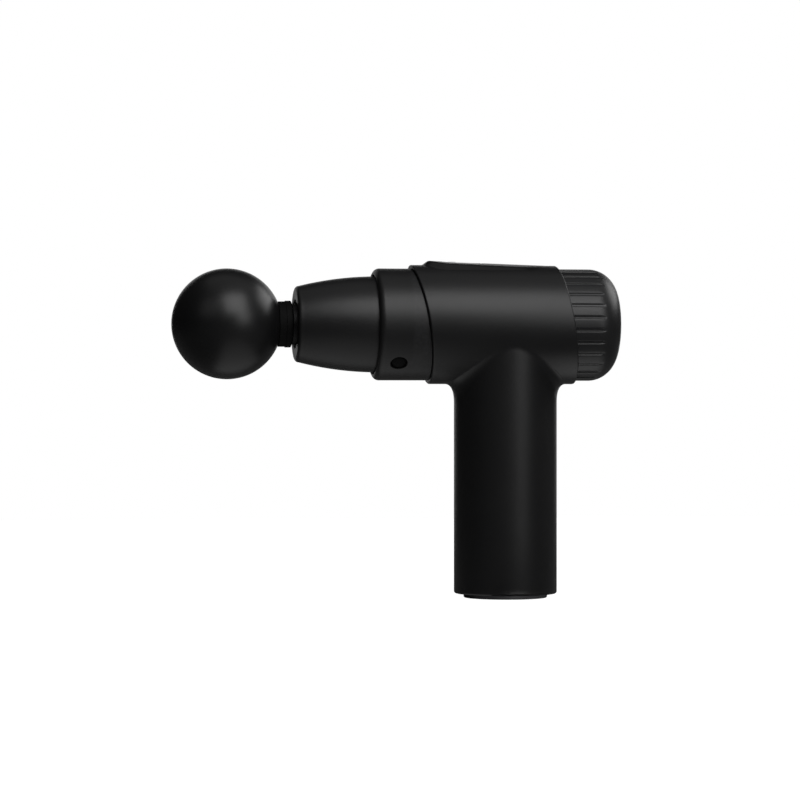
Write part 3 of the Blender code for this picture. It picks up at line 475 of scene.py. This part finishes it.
def make_stem():
    """Moulded stem that holds the ball and plugs into the piston, with its two rings."""
    flange_width, seat = 2.5 * MM, 3.4 * MM
    flange_rear = PISTON_FRONT_X - GAP
    flange_front = flange_rear - flange_width
    throat_x, throat_foot = -100.85 * MM, -100.3 * MM
    core_r, bolt_r, bolt_x = 5.4 * MM, 2.8 * MM, -82.5 * MM
    lead_in, lead_length = 0.6 * MM, 0.8 * MM
    profile = [(0.0, STEM_REAR_X), (STEM_R - lead_in, STEM_REAR_X)]
    profile += [(STEM_R, STEM_REAR_X - lead_length)]
    groove_r, groove_half = 3.9 * MM, 1.0 * MM
    for node in ("stem_ring_rear", "stem_ring_front"):
        high, low = middle_of(node).x + groove_half, middle_of(node).x - groove_half
        profile += [(STEM_R, high), (groove_r, high), (groove_r, low), (STEM_R, low)]
    profile += [(STEM_R, flange_rear), (FLANGE_R, flange_rear), (FLANGE_R, flange_front)]
    profile += [(NECK_R, flange_front), (NECK_R, throat_x), (SOCKET_R - GAP, throat_foot)]
    profile += [(SOCKET_R - GAP, SOCKET_END_X), (core_r, SOCKET_END_X), (core_r, flange_front)]
    profile += [(bolt_r, flange_front + seat), (bolt_r, bolt_x), (0.0, bolt_x)]
    stem = turned("stem", softened(profile, 0.35 * MM))
    piece("head_neck", stem, "head", "rubber", "head_stem")

    ring_r, cord_r, cord_sides = 4.7 * MM, 0.5 * MM, 16
    last = 360.0 - 360.0 / cord_sides
    for end in ("front", "rear"):
        node = "stem_ring_" + end
        cord = arc((ring_r, middle_of(node).x), cord_r, 0.0, last, cord_sides - 1)
        ring = turned(node, cord, ring=True, steps=96)
        piece("o_ring_" + end, ring, "head", "rubber", node)


# ---------------------------------------------------------------- nose, collar and port

def nose_radius(x):
    """Outer radius of the nose cone: a long shallow bow that starts at the collar."""
    along = max(COLLAR_FRONT_X - x, 0.0)
    return NOSE_R - NOSE_SLOPE * along - along ** 2 / (2 * NOSE_BOW_R)


def make_nose():
    """Nose cone, and the wiper seal in its mouth."""
    wall, edge, mouth, lip, stations = 2.0 * MM, 1.6 * MM, 10.7 * MM, 0.4 * MM, 24
    length = COLLAR_FRONT_X - NOSE_FRONT_X - edge
    bow = [COLLAR_FRONT_X - length * i / stations for i in range(stations + 1)]
    tip = nose_radius(bow[-1])
    profile = [(NOSE_R, NOSE_REAR_X)] + [(nose_radius(x), x) for x in bow]
    profile += arc((tip - edge, NOSE_FRONT_X + edge), edge, 0.0, -90.0, 6)[1:]
    profile += arc((mouth + lip, NOSE_FRONT_X + lip), lip, -90.0, -180.0, 4)
    profile += [(mouth, NOSE_FRONT_X + wall)]
    inner_stations = bow[-3:0:-3]
    profile += [(nose_radius(x) - wall, x) for x in (NOSE_FRONT_X + wall, *inner_stations)]
    profile += [(NOSE_R - wall, NOSE_REAR_X)]
    piece("nose_shell", turned("nose", profile, ring=True), "housing", "nose", "nose_cone")

    rear, front = NOSE_FRONT_X + wall - GAP, NOSE_FRONT_X + GAP
    running_fit, bevel = 0.2 * MM, 0.5 * MM
    inner, outer = PISTON_R + running_fit, mouth - GAP
    seal = [(inner, rear), (outer, rear), (outer, front), (inner + bevel, front),
            (inner, front + bevel)]
    seal = turned("seal", softened(seal, 0.15 * MM, ring=True), ring=True)
    piece("nose_wiper", seal, "housing", "rubber", "wiper_seal")


def make_collar():
    """Stepped collar with the charging port's hole."""
    bore, corner, flange_bore = 21.3 * MM, 2.6 * MM, 13.1 * MM
    flange_rear, flange_front = -54.8 * MM, -57.2 * MM
    stations = (-43.5, -45.0, -54.5, -55.8)      # in millimetres; they keep the faces short
    profile = [(bore, COLLAR_REAR_X), (COLLAR_R, COLLAR_REAR_X)]
    profile += [(COLLAR_R, x * MM) for x in stations]
    profile += arc((COLLAR_R - corner, COLLAR_FRONT_X + corner), corner, 0.0, -90.0, 12)
    profile += [(bore, flange_front), (flange_bore, flange_front), (flange_bore, flange_rear)]
    profile += [(bore, flange_rear)]
    collar = turned("collar", profile, ring=True)
    spigot_r, clear_r = BARREL_BORE - GAP, 2 * COLLAR_R
    seam, past = FRONT_SEAM_X - GAP, 40.0 * MM
    behind = [(spigot_r, past), (clear_r, past), (clear_r, seam), (spigot_r, seam)]
    hole_r, rim_r, rim, rim_foot = 3.6 * MM, 4.3 * MM, 24.9 * MM, 24.2 * MM
    above, below = 27.0 * MM, 20.0 * MM
    hole = [(0.0, above), (rim_r, above), (rim_r, rim), (hole_r, rim_foot)]
    hole += [(hole_r, below), (0.0, below)]
    collar = carved(collar, ("DIFFERENCE", turned("port_hole", hole, ON_PORT, steps=64)),
                    ("DIFFERENCE", leaning(behind, ring=True)))
    piece("collar_ring", collar, "housing", "nose", "nose_collar")


def make_plug():
    """Rubber plug in the charging port: a low dome on a hollow shank."""
    top, rim, seat, foot, hollow = 24.3 * MM, 23.5 * MM, 21.4 * MM, 15.6 * MM, 20.4 * MM
    cap_r, shank_r, hollow_r, dome_r = 3.3 * MM, 2.2 * MM, 1.1 * MM, 9.0 * MM
    plug = arc((0.0, top - dome_r), dome_r, 90.0, 72.0, 5)
    plug[0] = (0.0, top)
    plug += [(cap_r, rim), (cap_r, seat), (shank_r, seat), (shank_r, foot)]
    plug += [(hollow_r, foot), (hollow_r, hollow), (0.0, hollow)]
    plug = turned("plug", softened(plug, 0.3 * MM), ON_PORT, steps=KNOB_ROUND)
    piece("charging_plug", plug, "plug", "rubber", "port_plug")


# ---------------------------------------------------------------- housing

def leaning(profile, ring=False):
    """Turned mesh on the barrel whose end planes lean like the housing's seams."""
    mesh = turned("leaning", profile, UPRIGHT, ring)
    for vertex in mesh.vertices:
        bow = SEAM_BOW * (vertex.co.y / BARREL_R) ** 2 if vertex.co.z < 0 else 0.0
        vertex.co.z += SEAM_SLOPE * vertex.co.x + bow
    mesh.transform(ALONG_BARREL)
    return mesh


def handle_blend(angle):
    """Handle, corner and barrel points of the blend at one angle: (reach, world z) each."""
    side = math.sin(angle) ** 2
    radius = HANDLE_R + HANDLE_BULGE * side
    out = BLEND_OUT_ENDS + (BLEND_OUT_SIDES - BLEND_OUT_ENDS) * side
    down = BLEND_DOWN_ENDS + (BLEND_DOWN_SIDES - BLEND_DOWN_ENDS) * side
    reach = radius + out
    drop = math.sqrt(BARREL_R ** 2 - reach ** 2 * side)
    slope = reach * side / drop
    barrel = (reach, AXIS_Z - drop)
    corner = (radius, barrel[1] - slope * out)
    return (radius, corner[1] - down), corner, barrel


def handle_mesh():
    """Handle's outer skin, from its foot to well inside the barrel."""
    angles = [2 * math.pi * (i + 0.5) / ROUND for i in range(ROUND)]
    edge, pieces = 1.0 * MM, 16
    sunk = 1 - 0.3 * MM / BARREL_R           # puts the blend's end just under the barrel's skin
    top_inset, top_z = 7.3 * MM, AXIS_Z - 10.0 * MM

    def level(inset, z):
        reaches = [HANDLE_R + HANDLE_BULGE * math.sin(a) ** 2 - inset for a in angles]
        return [(r * math.cos(a), r * math.sin(a), z) for r, a in zip(reaches, angles)]

    foot = arc((0.0, HANDLE_FOOT_Z + edge), edge, -90.0, 0.0, 6)
    rows = [level(edge - out, z) for out, z in foot]
    rows += [level(0.0, z * MM) for z in (30.0, 60.0)]
    for step in range(pieces + 1):
        t = step / pieces
        row = []
        for angle in angles:
            reach, z = [(1 - t) ** 2 * h + 2 * t * (1 - t) * c + t * t * b
                        for h, c, b in zip(*handle_blend(angle))]
            row.append(Vector((reach * math.cos(angle), reach * math.sin(angle), z)))
        rows.append(row)
    rows[-1] = [(p.x, p.y * sunk, AXIS_Z + (p.z - AXIS_Z) * sunk) for p in rows[-1]]
    rows.append(level(top_inset, top_z))
    return closed_mesh("handle", rows)


def panel_pocket():
    """Room for the panel's underside in the barrel's wall."""
    outline = stadium(PANEL_FRONT_X - GAP, PANEL_REAR_X + GAP, PANEL_HALF_WIDTH + GAP)
    pocket = closed_mesh("pocket", [[(x, y, AXIS_Z + z) for x, y in outline]
                                    for z in (10.0 * MM, 40.0 * MM)])
    core_r = PANEL_FLOOR_R - GAP
    core = turned("core", [(0.0, FAR), (core_r, FAR), (core_r, -FAR), (0.0, -FAR)],
                  ALONG_BARREL @ HALF_STEP)
    return carved(pocket, ("DIFFERENCE", core))


def panel_window():
    """Opening in the barrel's wall below the lens and the button."""
    front, rear, half_width, low = -30.0 * MM, -9.0 * MM, 6.5 * MM, AXIS_Z + 18.0 * MM
    return block((front, -half_width, low), (rear, half_width, AXIS_Z + FAR))


def make_housing():
    """Left and right halves: barrel and handle in one skin, blended where they meet."""
    barrel = [(0.0, REAR_SEAM_X), (BARREL_R, REAR_SEAM_X), (BARREL_R, FRONT_SEAM_X)]
    barrel += [(0.0, FRONT_SEAM_X)]
    skin = carved(leaning(softened(barrel, 0.7 * MM, pieces=6)), ("UNION", handle_mesh()))

    rear_r, rear_step = DIAL_R + GAP, DIAL_FRONT_X - GAP
    bore = [(0.0, FAR), (rear_r, FAR), (rear_r, rear_step), (BARREL_BORE, rear_step)]
    bore = turned("bore", bore + [(BARREL_BORE, -FAR), (0.0, -FAR)])
    foot_r, ledge, high, low = 18.7 * MM, 4.0 * MM, AXIS_Z - 5.0 * MM, -6.0 * MM
    shaft = [(0.0, high), (HANDLE_BORE, high), (HANDLE_BORE, ledge), (foot_r, ledge)]
    shaft = turned("shaft", shaft + [(foot_r, low), (0.0, low)], HALF_STEP)
    cuts = [panel_window(), panel_pocket(), shaft, bore]

    wide = 300.0 * MM
    for side, sign in (("left", -1.0), ("right", 1.0)):
        near, away = sorted((sign * GAP / 2, -sign * wide))
        other = block((-wide, near, -wide), (wide, away, wide))
        half = skin.copy()
        for cut in (other, *cuts):
            half = carved(half, ("DIFFERENCE", cut.copy()))
        piece("shell_" + side, half, "housing", "shell", "housing_" + side)


def make_base():
    """Cap under the handle with its two screw wells."""
    foot_r, flange_r, edge = 18.4 * MM, HANDLE_BORE - GAP, 0.7 * MM
    inside, ledge = 6.3 * MM, 4.3 * MM
    profile = [(0.0, inside), (flange_r, inside), (flange_r, ledge), (foot_r, ledge)]
    profile += [(foot_r, 0.0), (0.0, 0.0)]
    screw_r, head_r, seat, above, below = 1.4 * MM, 2.5 * MM, 3.5 * MM, 9.0 * MM, -1.0 * MM
    well = [(0.0, above), (screw_r, above), (screw_r, seat), (head_r, seat)]
    well += [(head_r, below), (0.0, below)]
    spots = [middle_of("base_screw_%d" % i) for i in (1, 2)]
    wells = [turned("well", well, Matrix.Translation((s.x, s.y, 0.0)), steps=SCREW_ROUND)
             for s in spots]
    base = carved(turned("base", softened(profile, edge, pieces=6), UPRIGHT),
                  *[("DIFFERENCE", cut) for cut in wells])
    piece("foot_cap", base, "housing", "cap", "base_cap")


# ---------------------------------------------------------------- control panel

def crown(x):
    """Radius of the panel's sloping top at X."""
    along = (x - PANEL_SLOPE_X) / (PANEL_REAR_X - PANEL_SLOPE_X)
    line = PANEL_FRONT_R + (PANEL_REAR_R - PANEL_FRONT_R) * along
    return max(min(line, PANEL_FRONT_R), BARREL_R + 0.12 * MM)


def make_island():
    """Raised island that swells out of the barrel, with a lens seat and a button hole."""
    rim, lip, stations, proud = 3.6 * MM, 0.7 * MM, 12, 0.02 * MM
    seat_depth, lowest = 1.35 * MM, 25.8 * MM - GAP
    under = stadium(PANEL_FRONT_X, PANEL_REAR_X, PANEL_HALF_WIDTH)
    rows = [over_barrel(under, PANEL_FLOOR_R), over_barrel(under, BARREL_R - 0.1 * MM)]
    for step in range(stations + 1):
        t = step / stations
        inset, rise = rim * t - lip, t * t * (3 - 2 * t)
        outline = stadium(PANEL_FRONT_X + inset, PANEL_REAR_X - inset, PANEL_HALF_WIDTH - inset)
        rows.append(over_barrel(
            outline, lambda x, r=rise: BARREL_R + (crown(x) - BARREL_R) * r + proud))

    def seat_floor(x):
        return max(crown(x) - seat_depth, lowest)

    seat = stadium(LENS_FRONT_X - GAP, LENS_REAR_X + GAP, LENS_HALF_WIDTH + GAP)
    eased = stadium(LENS_FRONT_X - 2 * GAP, LENS_REAR_X + 2 * GAP, LENS_HALF_WIDTH + 2 * GAP)
    hole = stadium(BUTTON_X - BUTTON_R - GAP, BUTTON_X + BUTTON_R + GAP, BUTTON_R + GAP)
    rows.append(over_barrel(eased, crown))
    rows.append(over_barrel(seat, lambda x: crown(x) - 0.2 * MM))
    rows.append(over_barrel(seat, seat_floor))
    rows.append(over_barrel(hole, seat_floor))
    rows.append(over_barrel(hole, PANEL_FLOOR_R))
    panel = closed_mesh("panel", rows, ring_of_rows=True)
    piece("panel_island", panel, "housing", "panel", "control_panel", sharp=45.0)


def make_lens():
    """Lens with eased edges and the button's hole; each edge is (inset, drop) in millimetres."""
    outer_edge = ((0.0, 1.1), (0.0, 0.25), (0.06, 0.1), (0.2, 0.02), (0.45, 0.0))
    hole_edge = ((-0.4, 0.0), (-0.15, 0.03), (0.0, 0.2), (0.0, 1.1))
    hole_r = BUTTON_R + GAP
    rows = []
    for edge, front, rear, half_width in (
            (outer_edge, LENS_FRONT_X, LENS_REAR_X, LENS_HALF_WIDTH),
            (hole_edge, BUTTON_X - hole_r, BUTTON_X + hole_r, hole_r)):
        for inset, drop in edge:
            outline = stadium(front + inset * MM, rear - inset * MM, half_width - inset * MM)
            rows.append(over_barrel(outline, lambda x, d=drop: crown(x) - d * MM))
    lens = closed_mesh("lens", rows, ring_of_rows=True)
    piece("display_lens", lens, "housing", "lens", "panel_lens", sharp=45.0)


def make_button():
    """Power button with a dished top and the stub that presses the switch."""
    middle, rim, shoulder, foot, tip = 27.35 * MM, 27.5 * MM, 27.1 * MM, 25.1 * MM, 23.7 * MM
    dish_r, rim_width, stub_r = 20.0 * MM, 0.5 * MM, 1.6 * MM
    profile = arc((0.0, middle + dish_r), dish_r, -90.0, -83.0, 4)
    profile[0] = (0.0, middle)
    profile += [(BUTTON_R - rim_width, rim), (BUTTON_R, shoulder), (BUTTON_R, foot)]
    profile += [(stub_r, foot), (stub_r, tip), (0.0, tip)]
    place = Matrix.Translation((BUTTON_X, 0.0, AXIS_Z))
    button = turned("button", softened(profile, 0.2 * MM), place, steps=KNOB_ROUND)
    piece("button_cap", button, "button", "button", "power_button")


# ---------------------------------------------------------------- speed dial

def dial_profiles():
    """Outside of the dial from its end to its front edge, and its inside back to the axis."""
    flat_r, corner_x = DIAL_R - DIAL_CORNER_R, DIAL_END_X - DIAL_CORNER_R
    stations = (34.0, 30.0, 26.0, 22.5, 21.6)    # in millimetres; they keep the faces short
    outside = [(0.0, DIAL_END_X), (6.0 * MM, DIAL_END_X), (flat_r - 1.0 * MM, DIAL_END_X)]
    outside += arc((flat_r, corner_x), DIAL_CORNER_R, 90.0, 0.0, 36)
    outside += [(DIAL_R, x * MM) for x in stations]
    outside += [(DIAL_R - 0.3 * MM, DIAL_FRONT_X)]

    inside_x, inner_corner = DIAL_END_X - DIAL_WALL, DIAL_CORNER_R - DIAL_WALL
    hub_r, hub_front, spindle_r, spindle_end = 5.6 * MM, 33.0 * MM, 3.3 * MM, 45.7 * MM
    inside = [(DIAL_R - DIAL_WALL, DIAL_FRONT_X)]
    inside += arc((flat_r, corner_x), inner_corner, 0.0, 90.0, 12)
    inside += [(hub_r, inside_x), (hub_r, hub_front), (spindle_r, hub_front)]
    inside += [(spindle_r, spindle_end), (0.0, spindle_end)]
    return outside, inside


def make_dial():
    """Rounded rear dial with narrow grooves that run out on its corner."""
    outside, inside = dial_profiles()
    pitch = 2 * math.pi / GROOVES
    half, ease = GROOVE_WIDTH / 2 / DIAL_R, 0.4 * MM / DIAL_R
    floor = DIAL_R - GROOVE_DEPTH
    steps = 4
    flank = [half - ease / 2 + ease * i / steps for i in range(steps + 1)]
    land = [flank[-1] + (pitch / 2 - flank[-1]) * i / steps for i in range(1, steps)]
    side = [half / 2] + flank + land
    offsets = [-s for s in reversed(side)] + [0.0] + side + [pitch / 2]

    def cut(offset):
        t = min(max((half + ease / 2 - abs(offset)) / ease, 0.0), 1.0)
        return t * t * (3 - 2 * t)

    rows = []
    for profile, grooved in ((outside, True), (inside, False)):
        for radius, x in profile:
            if radius < ON_AXIS:
                rows.append([ALONG_BARREL @ Vector((0.0, 0.0, x))])
                continue
            row = []
            for i in range(GROOVES):
                for offset in offsets:
                    angle = (i + 0.5) * pitch + offset
                    depth = max(radius - floor, 0.0) * cut(offset) if grooved else 0.0
                    reach = radius - depth
                    spot = Vector((reach * math.cos(angle), reach * math.sin(angle), x))
                    row.append(ALONG_BARREL @ spot)
            rows.append(row)
    piece("dial_knob", closed_mesh("dial", rows), "dial", "dial", "speed_dial", sharp=40.0)


# ---------------------------------------------------------------- piston

def make_piston():
    """Piston rod with its bore and its fork."""
    pin = middle_of("wrist_pin")
    bore_r, bore_end, core_r, core_end = 5.3 * MM, -76.0 * MM, 7.0 * MM, pin.x - 13.0 * MM
    profile = [(0.0, PISTON_REAR_X), (PISTON_R, PISTON_REAR_X), (PISTON_R, PISTON_FRONT_X)]
    profile += [(bore_r, PISTON_FRONT_X), (bore_r, bore_end), (core_r, bore_end)]
    profile += [(core_r, core_end), (0.0, core_end)]
    slot_half, slot_depth, pin_r, past = 2.8 * MM, 6.0 * MM, 2.5 * MM, 20.0 * MM
    fork = block((pin.x - slot_depth, -past, AXIS_Z - slot_half), (0.0, past, AXIS_Z + slot_half))
    hole = [(0.0, past), (pin_r, past), (pin_r, -past), (0.0, -past)]
    piston = carved(turned("piston", softened(profile, 0.5 * MM)), ("DIFFERENCE", fork),
                    ("DIFFERENCE", turned("hole", hole, Matrix.Translation(pin), steps=48)))
    piece("percussion_rod", piston, "piston", "piston", "piston_rod")


def finish_inner_pieces():
    """Give every carried-over node the surface of its slot."""
    for part in frame["record"]["subparts"]:
        node = frame["nodes"][part["node"]]
        for place in node.material_slots:
            place.material = MATERIALS[part["material_slot"]]


# ---------------------------------------------------------------- studio

WHITE = (1.0, 1.0, 1.0, 1.0)


def soft_box(name, place, aim, size, power, spread=180.0):
    """Large area light at a place, turned to a point; spread is in degrees."""
    data = bpy.data.lights.new(name, "AREA")
    data.shape = "RECTANGLE"
    data.size, data.size_y = size
    data.energy = power
    data.spread = math.radians(spread)
    lamp = bpy.data.objects.new(name, data)
    lamp.location = place
    lamp.rotation_euler = (Vector(aim) - Vector(place)).to_track_quat("-Z", "Y").to_euler()
    lamp.visible_camera = False
    bpy.context.scene.collection.objects.link(lamp)


def make_floor():
    """Pale floor that shows white and gives little light back."""
    reach, thick = 0.9, 0.01
    rows = [[(-reach, -reach, z), (reach, -reach, z), (reach, reach, z), (-reach, reach, z)]
            for z in (-thick, 0.0)]
    floor = closed_mesh("floor", rows)
    paper = bpy.data.materials.new("floor_paper")
    paper.use_nodes = True
    shader = paper.node_tree.nodes["Principled BSDF"]
    shader.inputs["Base Color"].default_value = (0.12, 0.12, 0.12, 1.0)
    shader.inputs["Roughness"].default_value = 1.0
    shader.inputs["Specular IOR Level"].default_value = 0.0
    shader.inputs["Emission Color"].default_value = WHITE
    nodes, links = paper.node_tree.nodes, paper.node_tree.links
    glow = nodes.new("ShaderNodeMapRange")
    glow.inputs["To Min"].default_value = 0.01
    glow.inputs["To Max"].default_value = 1.0
    links.new(nodes.new("ShaderNodeLightPath").outputs["Is Camera Ray"], glow.inputs["Value"])
    links.new(glow.outputs["Result"], shader.inputs["Emission Strength"])
    floor.materials.append(paper)
    ground = bpy.data.objects.new("floor", floor)
    bpy.context.scene.collection.objects.link(ground)


def make_surroundings():
    """White all round to look at, but nearly dark as a source of light."""
    world = bpy.data.worlds.new("studio")
    world.use_nodes = True
    bpy.context.scene.world = world
    tree = world.node_tree
    around = tree.nodes["Background"]
    around.inputs["Color"].default_value = WHITE
    around.inputs["Strength"].default_value = 0.02
    behind = tree.nodes.new("ShaderNodeBackground")
    behind.inputs["Color"].default_value = WHITE
    path = tree.nodes.new("ShaderNodeLightPath")
    mix = tree.nodes.new("ShaderNodeMixShader")
    tree.links.new(path.outputs["Is Camera Ray"], mix.inputs["Fac"])
    tree.links.new(around.outputs["Background"], mix.inputs[1])
    tree.links.new(behind.outputs["Background"], mix.inputs[2])
    tree.links.new(mix.outputs["Shader"], tree.nodes["World Output"].inputs["Surface"])


def make_lights():
    """Soft boxes round the gun, and small low ones that stand for light off the table."""
    aim = (-0.03, 0.0, 0.09)
    soft_box("key", (0.24, -1.18, 1.24), aim, (1.25, 1.2), 26.5)
    soft_box("rim", (1.3, 0.45, 0.95), aim, (1.2, 0.8), 11.0)
    soft_box("top", (0.0, 0.1, 1.9), aim, (2.2, 1.6), 4.0)
    soft_box("strip", (0.64, -1.28, 0.44), aim, (0.65, 0.6), 4.8)
    soft_box("back", (0.25, 1.5, 0.35), aim, (1.6, 0.9), 4.0)
    soft_box("front_left", (-1.0, -0.9, 0.9), aim, (0.9, 0.9), 1.6)
    soft_box("bounce_head", (-0.08, -0.07, 0.002), (-0.08, -0.07, 1.0), (0.14, 0.24), 0.046, 130.0)
    soft_box("bounce_foot", (0.03, -0.09, 0.0015), (0.0, 0.0, 0.001), (0.16, 0.002), 0.0009, 5.0)
    soft_box("bounce_dial", (0.07, -0.02, 0.002), (0.07, -0.02, 1.0), (0.08, 0.12), 0.0135, 90.0)


def make_camera():
    """Long lens, level, slightly to the head's side of square."""
    data = bpy.data.cameras.new("camera")
    data.lens = 140.0
    camera = bpy.data.objects.new("camera", data)
    target = Vector((-0.0469, 0.0, 0.0869))
    camera.location = (-0.2485, -1.349, target.z)
    camera.rotation_euler = (target - camera.location).to_track_quat("-Z", "Y").to_euler()
    bpy.context.scene.collection.objects.link(camera)
    bpy.context.scene.camera = camera
    bpy.context.scene.view_settings.view_transform = "Standard"


make_ball()
make_stem()
make_nose()
make_collar()
make_plug()
make_housing()
make_base()
make_island()
make_lens()
make_button()
make_dial()
make_piston()
finish_inner_pieces()
make_floor()
make_surroundings()
make_lights()
make_camera()

bpy.context.view_layer.update()
